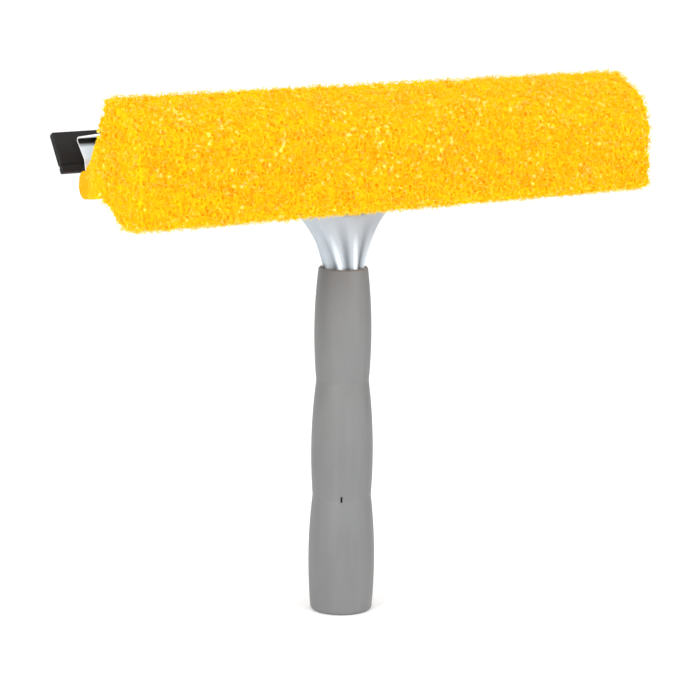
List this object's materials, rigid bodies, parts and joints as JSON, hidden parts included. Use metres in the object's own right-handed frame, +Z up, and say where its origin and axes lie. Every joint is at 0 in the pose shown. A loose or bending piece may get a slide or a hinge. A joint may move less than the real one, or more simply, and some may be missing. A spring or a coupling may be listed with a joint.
{
  "type": "window cleaning squeegee",
  "caption": "Hand squeegee with a moulded lobed grip, a pressed steel neck and rail, a rubber wiping blade behind and a coarse foam sponge in front.",
  "frame": {"origin": "centre of the grip's bottom end, at the mouth of the pole socket", "axes": "+Z up the grip towards the head, +X along the head, -Y towards the sponge, +Y towards the rubber blade"},
  "size_m": [0.254, 0.0595, 0.2172],
  "materials": {
    "grip_plastic": "matte",
    "zinc_steel": "satin",
    "rivet_steel": "satin",
    "black_rubber": "matte",
    "yellow_foam": "matte"
  },
  "bodies": {
    "head": {"grip": "grip_plastic", "neck_front": "zinc_steel", "neck_back": "zinc_steel", "blade_channel": "zinc_steel", "sponge_jaw": "zinc_steel", "blade_clamp": "zinc_steel", "neck_rivets": "rivet_steel", "rail_rivets": "rivet_steel"},
    "blade": {"rubber_blade": "black_rubber"},
    "foam": {"sponge": "yellow_foam"}
  },
  "joints": [
    {"name": "blade_slide", "type": "slide", "parent": "head", "child": "blade", "axis": [1, 0, 0], "range_m": [0, 0.225]},
    {"name": "sponge_slide", "type": "slide", "parent": "head", "child": "foam", "axis": [1, 0, 0], "range_m": [0, 0.215]}
  ]
}
